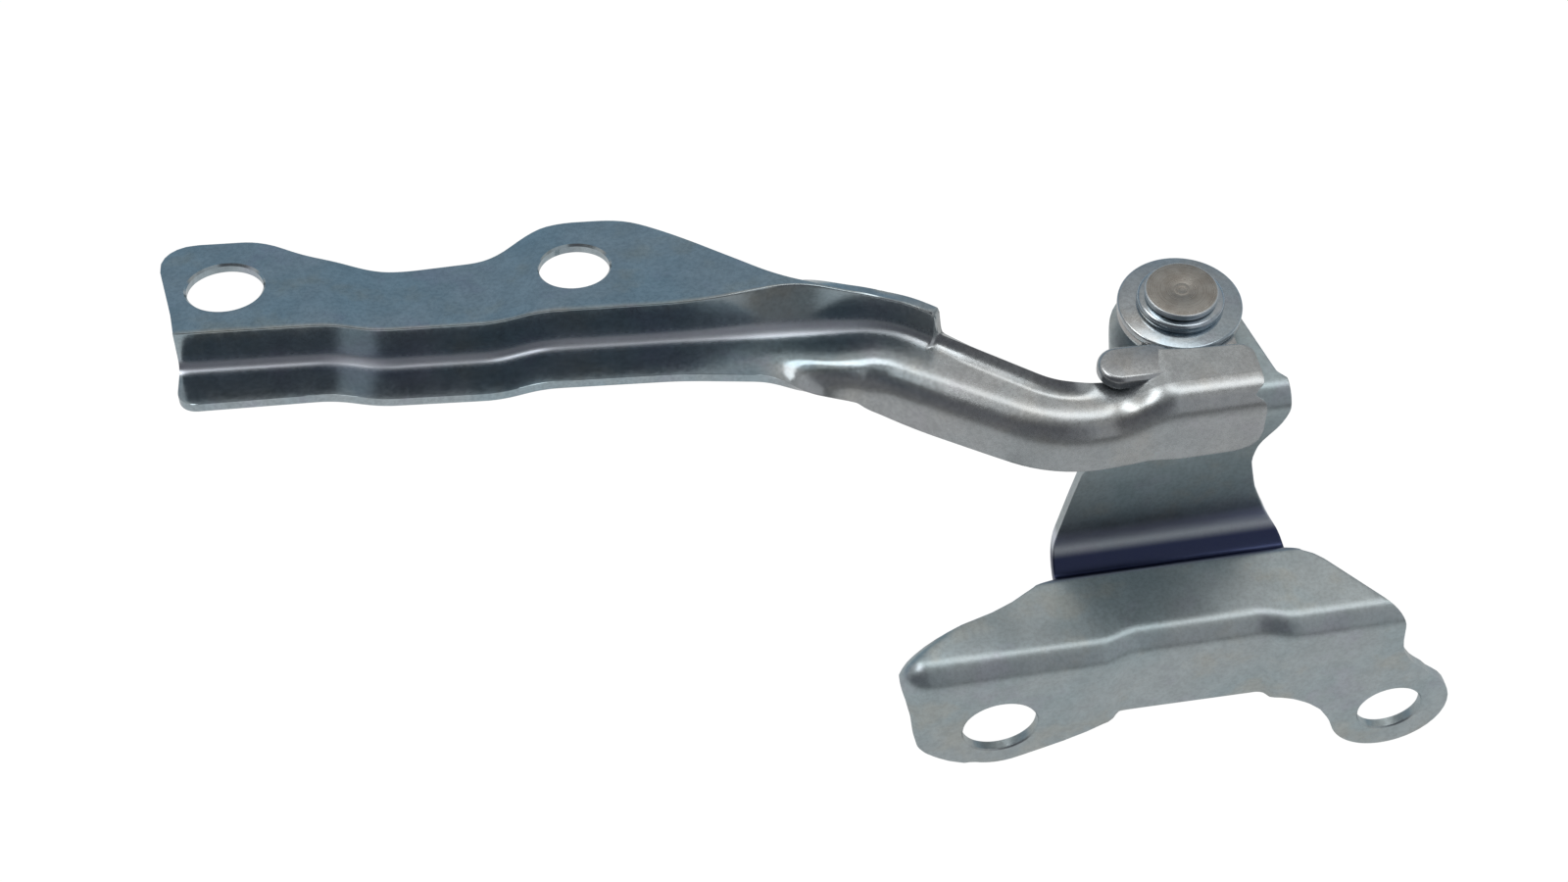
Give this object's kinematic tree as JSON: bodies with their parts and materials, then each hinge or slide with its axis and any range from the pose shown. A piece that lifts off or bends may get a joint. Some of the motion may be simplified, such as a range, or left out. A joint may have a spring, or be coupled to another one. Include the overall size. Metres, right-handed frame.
{
  "type": "bonnet hinge",
  "caption": "Zinc-plated pressed-steel bonnet hinge: a stepped body bracket and a cranked bonnet arm that swings on a riveted pivot pin with washers.",
  "frame": {"origin": "centre of the left body hole, on the bolt face of the bracket", "axes": "+X along the bolt flange towards the right body hole and along the length, +Y away from the bolt face, +Z along the pivot pin towards its head"},
  "size_m": [0.2604, 0.0989, 0.1071],
  "materials": {
    "bracket_zinc": "bright zinc plate with a clear blue passivate, satin",
    "arm_zinc": "bright zinc plate with a clear blue passivate, satin",
    "washer_zinc": "bright zinc plate, half gloss",
    "pin_steel": "bare turned steel, faintly ringed",
    "bush_bronze": "plain bronze, dull"
  },
  "bodies": {
    "bracket": {"body_bracket": "bracket_zinc", "pivot_pin": "pin_steel", "head_ring": "washer_zinc", "thrust_washer": "washer_zinc", "spacer_collar": "washer_zinc", "tail_washer": "washer_zinc"},
    "arm": {"bonnet_arm": "arm_zinc", "pivot_bush": "bush_bronze"}
  },
  "joints": [
    {"name": "bonnet_swing", "type": "hinge", "parent": "bracket", "child": "arm", "pos_m": [0.045, 0.051, 0.068], "axis": [0, 0, 1], "range_deg": [-65, 0]}
  ]
}
